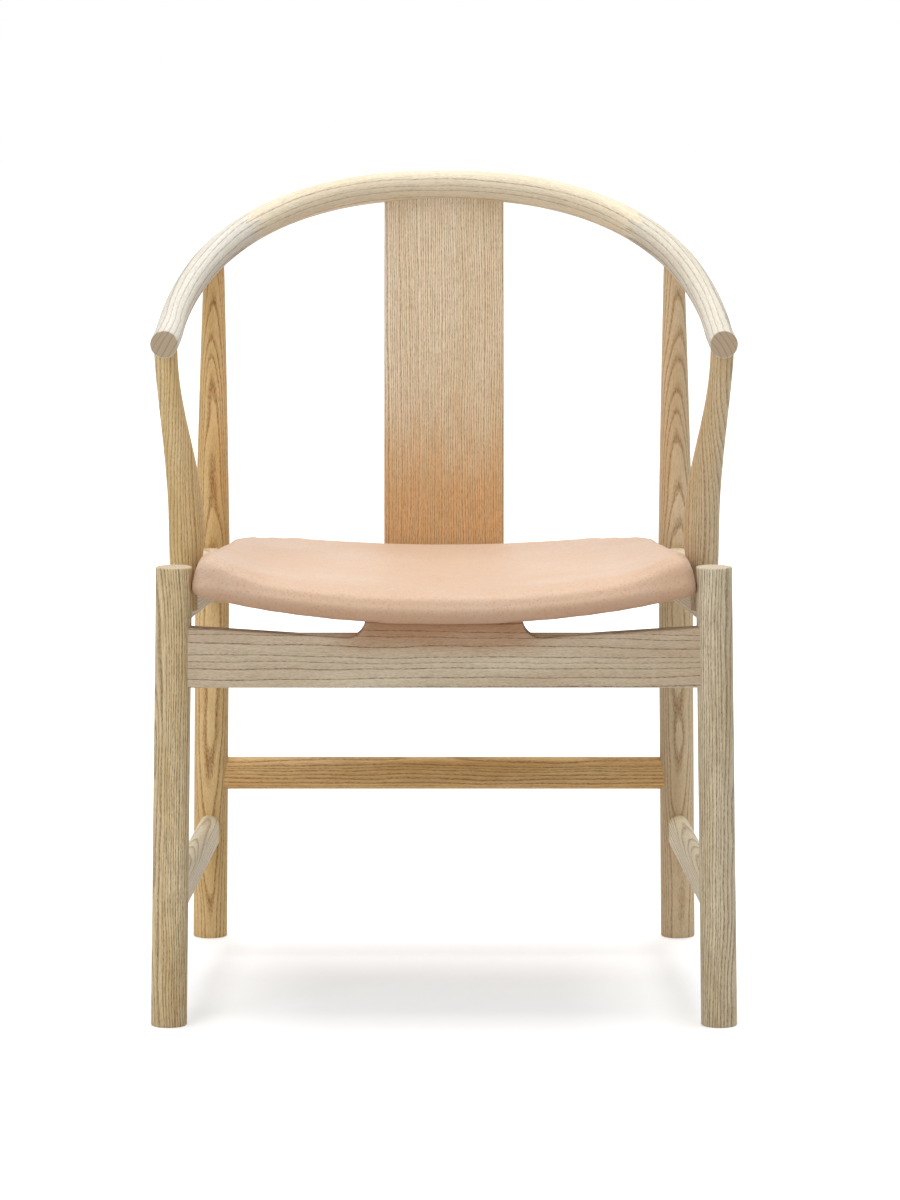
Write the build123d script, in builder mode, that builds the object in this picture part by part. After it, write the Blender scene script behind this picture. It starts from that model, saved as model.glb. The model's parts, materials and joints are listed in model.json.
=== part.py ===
from build123d import *
import os
from math import cos, radians, sin, sqrt

# Horseshoe back armchair: a turned ash frame with a bent bow and a leather seat.
#
# The chair stands on the floor at z = 0, with the origin under its middle.
# X runs to the sitter's left, Y to the back and Z up. All sizes are in millimetres.
# The pieces of the left side are modelled, and those of the right side mirror them.

os.makedirs("parts", exist_ok=True)

# ------------------------------------------------------------ driving sizes
# Front legs: straight round posts that lean in a little towards the top.
front_leg_y = -245.0
front_foot_x = 275.0
front_leg_top_x = 267.0
front_leg_height = 461.5
front_leg_radius = 18.0
leg_edge_rounding = 1.5

# Rear legs: turned, raked forward from the foot, and tapered above the seat.
rear_foot_x = 252.6
rear_foot_y = 228.0
rear_leg_radius = 18.25
rear_leg_waist_radius = 13.95
rear_leg_neck_radius = 10.6
rear_leg_taper_start = 445.0
rear_leg_waist = 629.0
rear_leg_bow_turn = 58.3
rear_leg_tenon_radius = 7.0

# Bow: a horseshoe in plan, level along the arms and raised towards the back.
bow_half_width = 277.0
bow_back_y = 248.0
bow_shoulder_y = -57.0
bow_squareness = 2.27
arm_end_y = -215.0
arm_height = 679.0
back_height = 809.0
bow_bend_y = -3.5
bow_bend_length = 70.0
bow_back_radius = 15.7
bow_arm_radius = 13.9
bow_taper_start = 45.0
bow_end_rounding = 1.2
bow_shoulder_turn = 90
bow_end_turn = 120
bow_station_turn = 10
bow_lead_turn = 20

# Comb joints that glue the arms to the bow's back.
comb_turn = 46.0
comb_length = 18.0
comb_teeth = 4
comb_tip = 1.0

# Arm posts: swan necks that fork over the side rails and carry the arms.
post_foot_y = -140.0
post_top_y = -183.0
post_foot_above_rail_bottom = 8.0
post_foot_radius = 13.6
post_belly_height = 485.0
post_belly_inset = 3.0
post_belly_radius = 18.0
post_neck_height = 645.0
post_neck_radius = 11.6
post_tenon_radius = 6.0
post_stations = 10

# Front seat rail, with a raised tongue in the middle under the seat.
front_rail_bottom = 341.5
front_rail_end_top = 402.7
front_rail_inner_top = 390.3
front_rail_thickness = 20.0
tongue_half_width = 78.0
tongue_hollow_radius = 18.0

# Side seat rails, which slope down to the back.
side_rail_front_z = 428.8
side_rail_rear_z = 404.3
side_rail_height = 52.5
side_rail_thickness = 18.0

# Rear seat rail, which carries the seat's rear edge and the splat.
rear_rail_bottom = 372.0
rear_rail_height = 50.0
rear_rail_thickness = 30.0

# Stretchers, with flat oval sections.
side_stretcher_z = 119.5
side_stretcher_height = 37.0
rear_stretcher_z = 182.3
rear_stretcher_height = 34.5
stretcher_thickness = 21.0

# Splat: one board with a soft S bend, let into the rear rail and the bow.
splat_half_width = 63.5
splat_thickness = 10.0
splat_tongue_thickness = 7.0
splat_tongue_inset = 6.0
splat_lumbar_y = 187.0
splat_lumbar_height = 520.0
splat_head_slope = 1 / 6

# Seat: leather over foam on a moulded shell, dished from side to side.
seat_front_corner_radius = 14.0
seat_rear_corner_radius = 92.0
seat_side_bulge = 5.4
seat_front_under_z = 406.5
seat_rear_under_z = 405.5
seat_sag = 4.0
seat_front_dish = 28.5
seat_rear_dish = 14.0
leather_thickness = 1.5
foam_thickness = 18.0
shell_thickness = 9.0
seat_top_rounding = 10.0
seat_bottom_rounding = 5.0
leather_turn_under = 25.0
base_cloth_thickness = 0.8
seat_front_overhang = 0.7
seat_leg_gap = 1.2
seat_rail_gap = 16.0

# Joints and fastenings.
rail_edge_rounding = 2.0
stretcher_rounding = 10.0
splat_edge_rounding = 2.5
tenon_thickness = 8.0
tenon_length = 12.0
tenon_shoulder = 7.0
glue_gap = 0.1
mortise_end_gap = 0.5
bow_tenon_past_axis = 3.0
upholstery_gap = 1.0
screw_radius = 2.0
screw_head_radius = 4.0
screw_head_height = 2.6
screw_length = 34.0
screw_bite = 6.5
screw_hole_gap = 0.3
front_screw_x = 45.0
rear_screw_x = 150.0
rear_screw_inset = 7.0

# Blanks are made this much too long, and cutters run this far past what they cut.
blank_allowance = 10.0
cut_past = 1.0


# ------------------------------------------------------------ axes of the frame
def between(start, end, share):
    """The point a share of the way from start to end."""
    return Vector(*start) + (Vector(*end) - Vector(*start)) * share


def soft_step(share):
    """Ease from 0 to 1 with level ends, for shares clamped to that range."""
    share = min(max(share, 0.0), 1.0)
    return share * share * (3 - 2 * share)


def front_leg_axis(z):
    """The left front leg's axis at a height."""
    foot = (front_foot_x, front_leg_y, 0)
    top = (front_leg_top_x, front_leg_y, front_leg_height)
    return between(foot, top, z / front_leg_height)


def bow_ramp(distance):
    """A rise that starts softly at zero distance and turns into a straight slope."""
    return (distance + sqrt(distance**2 + bow_bend_length**2)) / 2


def bow_height(y):
    """Height of the bow's axis, from the arm ends to the back."""
    low = bow_ramp(arm_end_y - bow_bend_y)
    high = bow_ramp(bow_back_y - bow_bend_y)
    share = (bow_ramp(y - bow_bend_y) - low) / (high - low)
    return arm_height + (back_height - arm_height) * share


def bow_axis(turn):
    """The bow's axis: turn 0 is the middle of the back, and the arm is straight past 90.

    Negative turns are on the sitter's right.
    """
    angle = radians(min(abs(turn), bow_shoulder_turn))
    power = 2 / bow_squareness
    x = bow_half_width * sin(angle) ** power
    y = bow_shoulder_y + (bow_back_y - bow_shoulder_y) * max(cos(angle), 0.0) ** power
    if abs(turn) >= bow_shoulder_turn:
        share = (abs(turn) - bow_shoulder_turn) / (bow_end_turn - bow_shoulder_turn)
        y = bow_shoulder_y + (arm_end_y - bow_shoulder_y) * share
    return Vector(x if turn > 0 else -x, y, bow_height(y))


def bow_turn_at(y):
    """The turn at which the straight arm reaches a depth."""
    share = (y - bow_shoulder_y) / (arm_end_y - bow_shoulder_y)
    return bow_shoulder_turn + (bow_end_turn - bow_shoulder_turn) * share


def bow_plane(turn):
    """A plane across the bow, with its local X pointing down."""
    ahead = bow_axis(turn + 0.5) - bow_axis(turn - 0.5)
    sideways = ahead.cross(Vector(0, 0, 1))
    return Plane(origin=bow_axis(turn), x_dir=ahead.cross(sideways), z_dir=ahead)


def bow_radius(turn):
    """The bow slims from its back to its arms."""
    share = soft_step((abs(turn) - bow_taper_start) / (bow_shoulder_turn - bow_taper_start))
    return bow_back_radius + (bow_arm_radius - bow_back_radius) * share


rear_leg_foot = Vector(rear_foot_x, rear_foot_y, 0)
rear_leg_head = bow_axis(rear_leg_bow_turn)
rear_leg_direction = (rear_leg_head - rear_leg_foot).normalized()
rear_leg_length = (rear_leg_head - rear_leg_foot).length


def rear_leg_axis(z):
    """The left rear leg's axis at a height."""
    return between(rear_leg_foot, rear_leg_head, z / rear_leg_head.Z)


side_rail_start = front_leg_axis(side_rail_front_z)
side_rail_end = rear_leg_axis(side_rail_rear_z)
post_rail_share = (post_foot_y - side_rail_start.Y) / (side_rail_end.Y - side_rail_start.Y)
post_rail_point = between(side_rail_start, side_rail_end, post_rail_share)
post_foot_z = post_rail_point.Z - side_rail_height / 2 + post_foot_above_rail_bottom
post_head = bow_axis(bow_turn_at(post_top_y))


def post_axis(z):
    """The left arm post's swan neck: in over the rail, then out and forward to the arm."""
    lean_in = soft_step((z - post_foot_z) / (post_belly_height - post_foot_z))
    lean_out = soft_step((z - post_belly_height) / (post_head.Z - post_belly_height))
    belly_x = post_rail_point.X - post_belly_inset
    x = post_rail_point.X - post_belly_inset * lean_in + (post_head.X - belly_x) * lean_out
    y = post_foot_y + (post_top_y - post_foot_y) * lean_out
    return Vector(x, y, z)


def post_radius(z):
    """The post swells from its foot to a belly above the seat and thins to the neck."""
    swell = soft_step((z - post_foot_z) / (post_belly_height - post_foot_z))
    thin = soft_step((z - post_belly_height) / (post_neck_height - post_belly_height))
    below = post_foot_radius + (post_belly_radius - post_foot_radius) * swell
    return below - (post_belly_radius - post_neck_radius) * thin


# ------------------------------------------------------------ places that follow the frame
front_rail_z = (front_rail_bottom + front_rail_end_top) / 2
front_rail_end = front_leg_axis(front_rail_z)
front_rail_start = Vector(-front_rail_end.X, front_rail_end.Y, front_rail_z)

rear_rail_z = rear_rail_bottom + rear_rail_height / 2
rear_rail_end = rear_leg_axis(rear_rail_z)
rear_rail_start = Vector(-rear_rail_end.X, rear_rail_end.Y, rear_rail_z)

side_stretcher_start = front_leg_axis(side_stretcher_z)
side_stretcher_end = rear_leg_axis(side_stretcher_z)
rear_stretcher_end = rear_leg_axis(rear_stretcher_z)
rear_stretcher_start = Vector(-rear_stretcher_end.X, rear_stretcher_end.Y, rear_stretcher_z)

seat_thickness = shell_thickness + foam_thickness + 2 * leather_thickness
seat_front_y = front_leg_y - front_leg_radius - seat_front_overhang
seat_rear_y = rear_rail_end.Y
seat_front_half_width = front_leg_top_x - front_leg_radius - seat_leg_gap
seat_rear_half_width = side_rail_end.X - side_rail_thickness / 2 - seat_rail_gap
splat_foot_y = seat_rear_y + upholstery_gap + splat_thickness / 2


def seat_under(x, y):
    """Height of the seat's dished underside."""
    share = (y - seat_front_y) / (seat_rear_y - seat_front_y)
    ends = seat_front_under_z + (seat_rear_under_z - seat_front_under_z) * share
    sag = 4 * seat_sag * share * (1 - share)
    dish = seat_front_dish + (seat_rear_dish - seat_front_dish) * share
    return ends - sag + dish * (x / seat_front_half_width) ** 2


# ------------------------------------------------------------ shared shapes
def plane_along(start, end):
    """A plane at start that looks towards end, with its local X up, or back on a post."""
    along = (Vector(*end) - Vector(*start)).normalized()
    up = Vector(0, 0, 1) if abs(along.Z) < 0.7 else Vector(0, 1, 0)
    return Plane(origin=start, x_dir=up - along * up.dot(along), z_dir=along)


def rounded_bar(start, end, height, thickness, rounding):
    """A bar with a rounded section, from start to end."""
    with BuildPart() as bar:
        with BuildSketch(plane_along(start, end)):
            RectangleRounded(height, thickness, rounding)
        extrude(amount=(Vector(*end) - Vector(*start)).length)
    return bar.part


def tenon_bar(start, end, height, start_stop, end_stop, thickness=tenon_thickness, gap=0.0):
    """Both tenons of a bar as one solid, which stops short of the two axes that the bar joins.

    With a gap it's the cutter for the two mortises.
    """
    end_gap = mortise_end_gap if gap else 0.0
    place = plane_along(start, end)
    length = (Vector(*end) - Vector(*start)).length
    with BuildPart() as bar:
        with BuildSketch(place.offset(start_stop - end_gap)):
            SlotOverall(height + 2 * gap, thickness + 2 * gap)
        extrude(amount=length - start_stop - end_stop + 2 * end_gap)
    return bar.part


def peg(start, end, radius):
    """A round pin or its hole, from start to end."""
    with BuildPart() as pin:
        with BuildSketch(plane_along(start, end)):
            Circle(radius)
        extrude(amount=(Vector(*end) - Vector(*start)).length)
    return pin.part


def mirrored(piece):
    """The same piece on the other side of the chair."""
    with BuildPart() as other:
        mirror(piece, about=Plane.YZ)
    return other.part


def seat_layer(low, high):
    """A dished layer between two heights above the seat's underside, wider than the seat."""
    front = seat_front_y - blank_allowance
    rear = seat_rear_y + rear_rail_thickness
    half = seat_front_half_width + blank_allowance
    with BuildPart() as layer:
        for y in (front, (front + rear) / 2, rear):
            middle = seat_under(0, y)
            edge = seat_under(half, y)
            with BuildSketch(Plane.XZ.offset(-y)):
                with BuildLine():
                    ThreePointArc((-half, edge + low), (0, middle + low), (half, edge + low))
                    Line((half, edge + low), (half, edge + high))
                    ThreePointArc((half, edge + high), (0, middle + high), (-half, edge + high))
                    Line((-half, edge + high), (-half, edge + low))
                make_face()
        loft()
    return layer.part


def seat_slab(low, high, inset=0.0, top_rounding=0.0, bottom_rounding=0.0):
    """A layer of the seat, cut to the seat's outline less an inset, with rolled edges."""
    front = seat_front_y + inset
    rear = seat_rear_y - inset
    front_half = seat_front_half_width - inset
    rear_half = seat_rear_half_width - inset
    middle = (front + rear) / 2
    middle_half = (front_half + rear_half) / 2 + seat_side_bulge
    front_corner = max(seat_front_corner_radius - inset, 1.0)
    rear_corner = max(seat_rear_corner_radius - inset, 1.0)
    belly = post_axis(post_belly_height)
    with BuildPart() as slab:
        add(seat_layer(low, high))
        with BuildSketch():
            with BuildLine():
                Line((-front_half, front), (front_half, front))
                ThreePointArc((front_half, front), (middle_half, middle), (rear_half, rear))
                Line((rear_half, rear), (-rear_half, rear))
                ThreePointArc((-rear_half, rear), (-middle_half, middle), (-front_half, front))
            make_face()
            fillet(vertices().group_by(Axis.Y)[0], front_corner)
            fillet(vertices().group_by(Axis.Y)[-1], rear_corner)
        extrude(amount=back_height, mode=Mode.INTERSECT)
        if top_rounding:
            top = slab.faces().sort_by(SortBy.AREA)[-2:].sort_by(Axis.Z)[-1]
            fillet(top.edges(), top_rounding)
        if bottom_rounding:
            bottom = slab.faces().sort_by(SortBy.AREA)[-2:].sort_by(Axis.Z)[0]
            fillet(bottom.edges(), bottom_rounding)
        with BuildSketch():
            with Locations((belly.X, belly.Y), (-belly.X, belly.Y)):
                Circle(post_belly_radius + upholstery_gap + inset)
        extrude(amount=back_height, mode=Mode.SUBTRACT)
    return slab.part


# ------------------------------------------------------------ blanks before joinery
front_leg_from = front_leg_axis(-blank_allowance)
front_leg_to = front_leg_axis(front_leg_height + blank_allowance)
with BuildPart() as front_leg_blank:
    with BuildSketch(plane_along(front_leg_from, front_leg_to)):
        Circle(front_leg_radius)
    extrude(amount=(front_leg_to - front_leg_from).length)
    split(bisect_by=Plane.XY, keep=Keep.TOP)
    split(bisect_by=Plane.XY.offset(front_leg_height), keep=Keep.BOTTOM)
    fillet(front_leg_blank.faces().filter_by(Plane.XY).edges(), leg_edge_rounding)

rear_leg_side = Vector(1, 0, 0) - rear_leg_direction * rear_leg_direction.X
rear_leg_plane = Plane(
    origin=rear_leg_foot, x_dir=rear_leg_side, z_dir=rear_leg_side.cross(rear_leg_direction)
)

with BuildPart() as rear_leg_blank:
    with BuildSketch(rear_leg_plane):
        with BuildLine():
            Line((0, rear_leg_length), (0, -blank_allowance))
            Line((0, -blank_allowance), (rear_leg_radius, -blank_allowance))
            Line((rear_leg_radius, -blank_allowance), (rear_leg_radius, rear_leg_taper_start))
            ThreePointArc(
                (rear_leg_radius, rear_leg_taper_start),
                (rear_leg_waist_radius, rear_leg_waist),
                (rear_leg_neck_radius, rear_leg_length),
            )
            Line((rear_leg_neck_radius, rear_leg_length), (0, rear_leg_length))
        make_face()
    revolve(axis=Axis(rear_leg_foot, rear_leg_direction))
    split(bisect_by=Plane.XY, keep=Keep.TOP)
    fillet(rear_leg_blank.faces().sort_by(Axis.Z)[0].edges(), leg_edge_rounding)

# The left half of the bow starts past the middle, so that it crosses the middle square.
with BuildPart() as bow_blank:
    for turn in range(-bow_lead_turn, bow_end_turn + 1, bow_station_turn):
        with BuildSketch(bow_plane(turn)):
            Circle(bow_radius(turn))
    loft()
    split(bisect_by=Plane.YZ, keep=Keep.TOP)
    fillet(bow_blank.faces().sort_by(Axis.Y)[0].edges(), bow_end_rounding)

with BuildPart() as post_blank:
    for station in range(post_stations + 1):
        z = post_foot_z + (post_head.Z - post_foot_z) * station / post_stations
        with BuildSketch(Plane(origin=post_axis(z), z_dir=post_axis(z + 1) - post_axis(z - 1))):
            Circle(post_radius(z))
    loft()
    split(bisect_by=Plane.XY.offset(post_foot_z), keep=Keep.TOP)


def splat_band(low, high, half_width, thickness):
    """The splat's S-bent board between two heights."""
    with BuildPart() as band:
        with BuildSketch(Plane.YZ):
            with BuildLine():
                sides = []
                for side in (-thickness / 2, thickness / 2):
                    foot = (splat_foot_y + side, rear_rail_bottom)
                    lumbar = (splat_lumbar_y + side, splat_lumbar_height)
                    head = (bow_back_y + side, back_height)
                    tangents = [(0, 1), (splat_head_slope, 1)]
                    sides.append(Spline(foot, lumbar, head, tangents=tangents))
                Line(sides[0] @ 0, sides[1] @ 0)
                Line(sides[0] @ 1, sides[1] @ 1)
            make_face()
        extrude(amount=half_width, both=True)
        split(bisect_by=Plane.XY.offset(low), keep=Keep.TOP)
        split(bisect_by=Plane.XY.offset(high), keep=Keep.BOTTOM)
    return band.part


room_for_seat = seat_layer(0, 3 * seat_thickness)
with BuildPart() as front_rail_blank:
    with BuildSketch(Plane.XZ.offset(-front_leg_y)):
        with BuildLine():
            outline = Polyline(
                (0, front_rail_bottom),
                (front_rail_end.X, front_rail_bottom),
                (front_rail_end.X, front_rail_end_top),
                (tongue_half_width, front_rail_inner_top),
                (tongue_half_width, seat_front_under_z + seat_front_dish),
                (0, seat_front_under_z + seat_front_dish),
            )
            mirror(outline, about=Plane.YZ)
        make_face()
        inner_corners = vertices().group_by(Axis.Y)[1]
        fillet(inner_corners, tongue_hollow_radius)
    extrude(amount=front_rail_thickness / 2, both=True)
    long_faces = front_rail_blank.faces().sort_by(Axis.Y)
    fillet(long_faces[0].edges() + long_faces[-1].edges(), rail_edge_rounding)
    add(room_for_seat, mode=Mode.SUBTRACT)

rear_rail_bar = rounded_bar(
    rear_rail_start, rear_rail_end, rear_rail_height, rear_rail_thickness, rail_edge_rounding
)
with BuildPart() as rear_rail_blank:
    add(rear_rail_bar)
    add(room_for_seat, mode=Mode.SUBTRACT)


# ------------------------------------------------------------ tenons and their mortises
def front_rail_tenons(gap=0.0):
    """The front rail's tenons."""
    height = front_rail_end_top - front_rail_bottom - 2 * tenon_shoulder
    stop = front_leg_radius - tenon_length
    return tenon_bar(front_rail_start, front_rail_end, height, stop, stop, gap=gap)


def side_rail_tenons(gap=0.0):
    """The left side rail's tenons, the front one above the front rail's."""
    height = side_rail_height - 2 * tenon_shoulder
    stops = (front_leg_radius - tenon_length, rear_leg_radius - tenon_length)
    return tenon_bar(side_rail_start, side_rail_end, height, *stops, gap=gap)


def rear_rail_tenons(gap=0.0):
    """The rear rail's tenons, low down and clear of the side rails' tenons."""
    height = rear_rail_height - 4 * tenon_shoulder
    stop = rear_leg_radius - tenon_length
    drop = Vector(0, 0, tenon_shoulder)
    return tenon_bar(rear_rail_start - drop, rear_rail_end - drop, height, stop, stop, gap=gap)


def side_stretcher_tenons(gap=0.0):
    """The left side stretcher's tenons."""
    height = side_stretcher_height - 2 * tenon_shoulder
    stops = (front_leg_radius - tenon_length, rear_leg_radius - tenon_length)
    return tenon_bar(side_stretcher_start, side_stretcher_end, height, *stops, gap=gap)


def rear_stretcher_tenons(gap=0.0):
    """The rear stretcher's tenons."""
    height = rear_stretcher_height - 2 * tenon_shoulder
    stop = rear_leg_radius - tenon_length
    return tenon_bar(rear_stretcher_start, rear_stretcher_end, height, stop, stop, gap=gap)


def rear_leg_tenon(gap=0.0):
    """The round tenon on the left rear leg's head, up into the bow."""
    start = rear_leg_head - rear_leg_direction * 2 * bow_back_radius
    past = bow_tenon_past_axis + (mortise_end_gap if gap else 0.0)
    return peg(start, rear_leg_head + rear_leg_direction * past, rear_leg_tenon_radius + gap)


def post_tenon(gap=0.0):
    """The round tenon on the left arm post's head, up into the arm."""
    start = post_head - Vector(0, 0, 2 * bow_arm_radius)
    past = bow_tenon_past_axis + (mortise_end_gap if gap else 0.0)
    return peg(start, post_head + Vector(0, 0, past), post_tenon_radius + gap)


def splat_tongues(gap=0.0):
    """The tongues on both ends of the splat, as one thin board right through it."""
    end_gap = mortise_end_gap if gap else 0.0
    low = rear_rail_bottom + tenon_length - end_gap
    high = back_height - bow_tenon_past_axis + end_gap
    half_width = splat_half_width - splat_tongue_inset + gap
    return splat_band(low, high, half_width, splat_tongue_thickness + 2 * gap)


# ------------------------------------------------------------ comb joints
comb_plane = bow_plane(comb_turn)


def comb_side(direction):
    """The comb's teeth on one side of the left joint: +1 for the arm's, -1 for the back's."""
    reach = bow_back_radius + cut_past
    pitch = 2 * reach / comb_teeth
    tip = comb_length / 2
    border = []
    for tooth in range(comb_teeth):
        low = -reach + tooth * pitch
        border += [(-tip, low), (-tip, low + comb_tip)]
        border += [(tip, low + pitch / 2), (tip, low + pitch / 2 + comb_tip)]
    border.append((-tip, reach))
    clear = direction * (tip + cut_past)
    teeth_plane = Plane(origin=comb_plane.origin, x_dir=comb_plane.z_dir, z_dir=comb_plane.y_dir)
    with BuildPart() as teeth:
        with BuildSketch(teeth_plane):
            Polygon((clear, -reach), *border, (clear, reach), align=None)
        extrude(amount=reach, both=True)
    return teeth.part


# ------------------------------------------------------------ seat screws
def screw_seat(x, y):
    """Where a screw's head bears, at the bottom of its counterbore."""
    return Vector(x, y, seat_under(x, y) + leather_thickness + screw_bite - screw_length)


def screw_holes(places, rail_bottom):
    """Shank holes up through a rail, with counterbores from below."""
    with BuildPart() as holes:
        for place in places:
            with BuildSketch(Plane(origin=place)):
                Circle(screw_radius + screw_hole_gap)
            extrude(amount=screw_length)
            with BuildSketch(Plane(origin=place, z_dir=(0, 0, -1))):
                Circle(screw_head_radius + screw_hole_gap)
            extrude(amount=place.Z - rail_bottom + cut_past)
    return holes.part


rear_screw_y = rear_rail_end.Y - rear_rail_thickness / 2 + rear_screw_inset
front_screws = [screw_seat(x, front_leg_y) for x in (-front_screw_x, front_screw_x)]
rear_screws = [screw_seat(x, rear_screw_y) for x in (-rear_screw_x, rear_screw_x)]

with BuildPart() as seat_screws:
    for place in front_screws + rear_screws:
        with BuildSketch(Plane(origin=place, z_dir=(0, 0, -1))):
            Circle(screw_head_radius)
        extrude(amount=screw_head_height)
        with BuildSketch(Plane(origin=place)):
            Circle(screw_radius)
        extrude(amount=screw_length)

# ------------------------------------------------------------ blanks of the right side
right_front_leg_blank = mirrored(front_leg_blank.part)
right_rear_leg_blank = mirrored(rear_leg_blank.part)
right_bow_blank = mirrored(bow_blank.part)

# ------------------------------------------------------------ legs
with BuildPart() as front_leg_left:
    add(front_leg_blank.part)
    add(front_rail_tenons(glue_gap), mode=Mode.SUBTRACT)
    add(side_rail_tenons(glue_gap), mode=Mode.SUBTRACT)
    add(side_stretcher_tenons(glue_gap), mode=Mode.SUBTRACT)

with BuildPart() as rear_leg_left:
    add(rear_leg_blank.part)
    add(bow_blank.part, mode=Mode.SUBTRACT)
    add(rear_leg_tenon())
    add(side_rail_tenons(glue_gap), mode=Mode.SUBTRACT)
    add(rear_rail_tenons(glue_gap), mode=Mode.SUBTRACT)
    add(side_stretcher_tenons(glue_gap), mode=Mode.SUBTRACT)
    add(rear_stretcher_tenons(glue_gap), mode=Mode.SUBTRACT)

# ------------------------------------------------------------ seat rails
side_rail_blank = rounded_bar(
    side_rail_start, side_rail_end, side_rail_height, side_rail_thickness, rail_edge_rounding
)
right_side_rail_blank = mirrored(side_rail_blank)

with BuildPart() as front_seat_rail:
    add(front_rail_blank.part)
    add(front_leg_blank.part, mode=Mode.SUBTRACT)
    add(right_front_leg_blank, mode=Mode.SUBTRACT)
    add(front_rail_tenons())
    add(screw_holes(front_screws, front_rail_bottom), mode=Mode.SUBTRACT)

with BuildPart() as side_seat_rail_left:
    add(side_rail_blank)
    add(front_leg_blank.part, mode=Mode.SUBTRACT)
    add(rear_leg_blank.part, mode=Mode.SUBTRACT)
    add(side_rail_tenons())

with BuildPart() as rear_seat_rail:
    add(rear_rail_blank.part)
    add(rear_leg_blank.part, mode=Mode.SUBTRACT)
    add(right_rear_leg_blank, mode=Mode.SUBTRACT)
    add(side_rail_blank, mode=Mode.SUBTRACT)
    add(right_side_rail_blank, mode=Mode.SUBTRACT)
    add(rear_rail_tenons())
    add(splat_tongues(glue_gap), mode=Mode.SUBTRACT)
    add(screw_holes(rear_screws, rear_rail_bottom), mode=Mode.SUBTRACT)

# ------------------------------------------------------------ stretchers
side_stretcher_blank = rounded_bar(
    side_stretcher_start,
    side_stretcher_end,
    side_stretcher_height,
    stretcher_thickness,
    stretcher_rounding,
)
with BuildPart() as side_stretcher_left:
    add(side_stretcher_blank)
    add(front_leg_blank.part, mode=Mode.SUBTRACT)
    add(rear_leg_blank.part, mode=Mode.SUBTRACT)
    add(side_stretcher_tenons())

rear_stretcher_blank = rounded_bar(
    rear_stretcher_start,
    rear_stretcher_end,
    rear_stretcher_height,
    stretcher_thickness,
    stretcher_rounding,
)
with BuildPart() as rear_stretcher:
    add(rear_stretcher_blank)
    add(rear_leg_blank.part, mode=Mode.SUBTRACT)
    add(right_rear_leg_blank, mode=Mode.SUBTRACT)
    add(rear_stretcher_tenons())

# ------------------------------------------------------------ arm posts
side_rail_slot = rounded_bar(
    side_rail_start,
    side_rail_end,
    side_rail_height + 2 * glue_gap,
    side_rail_thickness + 2 * glue_gap,
    rail_edge_rounding,
)
with BuildPart() as arm_post_left:
    add(post_blank.part)
    add(bow_blank.part, mode=Mode.SUBTRACT)
    add(post_tenon())
    add(side_rail_slot, mode=Mode.SUBTRACT)

# ------------------------------------------------------------ bow
with BuildPart() as bow_arm_left:
    add(bow_blank.part)
    split(bisect_by=comb_plane.offset(-comb_length / 2), keep=Keep.TOP)
    add(comb_side(-1), mode=Mode.SUBTRACT)
    add(rear_leg_tenon(glue_gap), mode=Mode.SUBTRACT)
    add(post_tenon(glue_gap), mode=Mode.SUBTRACT)

with BuildPart() as bow_half:
    add(bow_blank.part)
    split(bisect_by=comb_plane.offset(comb_length / 2), keep=Keep.BOTTOM)
    add(comb_side(1), mode=Mode.SUBTRACT)

with BuildPart() as bow_back:
    add(bow_half.part)
    mirror(bow_half.part, about=Plane.YZ)
    add(splat_tongues(glue_gap), mode=Mode.SUBTRACT)

# ------------------------------------------------------------ splat
with BuildPart() as back_splat:
    add(splat_band(rear_rail_z, back_height, splat_half_width, splat_thickness))
    fillet(back_splat.edges().group_by(SortBy.LENGTH)[-1], splat_edge_rounding)
    add(bow_blank.part, mode=Mode.SUBTRACT)
    add(right_bow_blank, mode=Mode.SUBTRACT)
    add(rear_rail_blank.part, mode=Mode.SUBTRACT)
    add(splat_tongues())

# ------------------------------------------------------------ seat
padding_low = leather_thickness
padding_high = seat_thickness - leather_thickness
padding_top_rounding = seat_top_rounding - leather_thickness
padding_bottom_rounding = seat_bottom_rounding - leather_thickness
shell_top = padding_low + shell_thickness
cloth_inset = leather_turn_under + upholstery_gap
padding = seat_slab(
    padding_low,
    padding_high,
    inset=leather_thickness,
    top_rounding=padding_top_rounding,
    bottom_rounding=padding_bottom_rounding,
)

with BuildPart() as seat_leather:
    add(
        seat_slab(
            0,
            seat_thickness,
            top_rounding=seat_top_rounding,
            bottom_rounding=seat_bottom_rounding,
        )
    )
    add(padding, mode=Mode.SUBTRACT)
    add(seat_slab(-cut_past, padding_low, leather_turn_under), mode=Mode.SUBTRACT)
    add(seat_screws.part, mode=Mode.SUBTRACT)

with BuildPart() as seat_foam:
    add(padding)
    add(seat_layer(0, shell_top), mode=Mode.SUBTRACT)

with BuildPart() as seat_shell:
    add(padding)
    add(seat_layer(shell_top, seat_thickness), mode=Mode.SUBTRACT)
    add(seat_screws.part, mode=Mode.SUBTRACT)

with BuildPart() as seat_base_cloth:
    add(seat_slab(padding_low - base_cloth_thickness, padding_low, cloth_inset))

# ------------------------------------------------------------ right-hand pieces
pieces = {
    "bow_back": bow_back.part,
    "back_splat": back_splat.part,
    "front_seat_rail": front_seat_rail.part,
    "rear_seat_rail": rear_seat_rail.part,
    "rear_stretcher": rear_stretcher.part,
    "seat_shell": seat_shell.part,
    "seat_foam": seat_foam.part,
    "seat_leather": seat_leather.part,
    "seat_base_cloth": seat_base_cloth.part,
    "seat_screws": seat_screws.part,
}
handed_pieces = {
    "bow_arm": bow_arm_left.part,
    "arm_post": arm_post_left.part,
    "front_leg": front_leg_left.part,
    "rear_leg": rear_leg_left.part,
    "side_seat_rail": side_seat_rail_left.part,
    "side_stretcher": side_stretcher_left.part,
}
for name, piece in handed_pieces.items():
    pieces[name + "_left"] = piece
    pieces[name + "_right"] = mirrored(piece)

for name, piece in pieces.items():
    piece.label = name
    export_step(piece, f"parts/{name}.step")
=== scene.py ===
import json
import math

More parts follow.
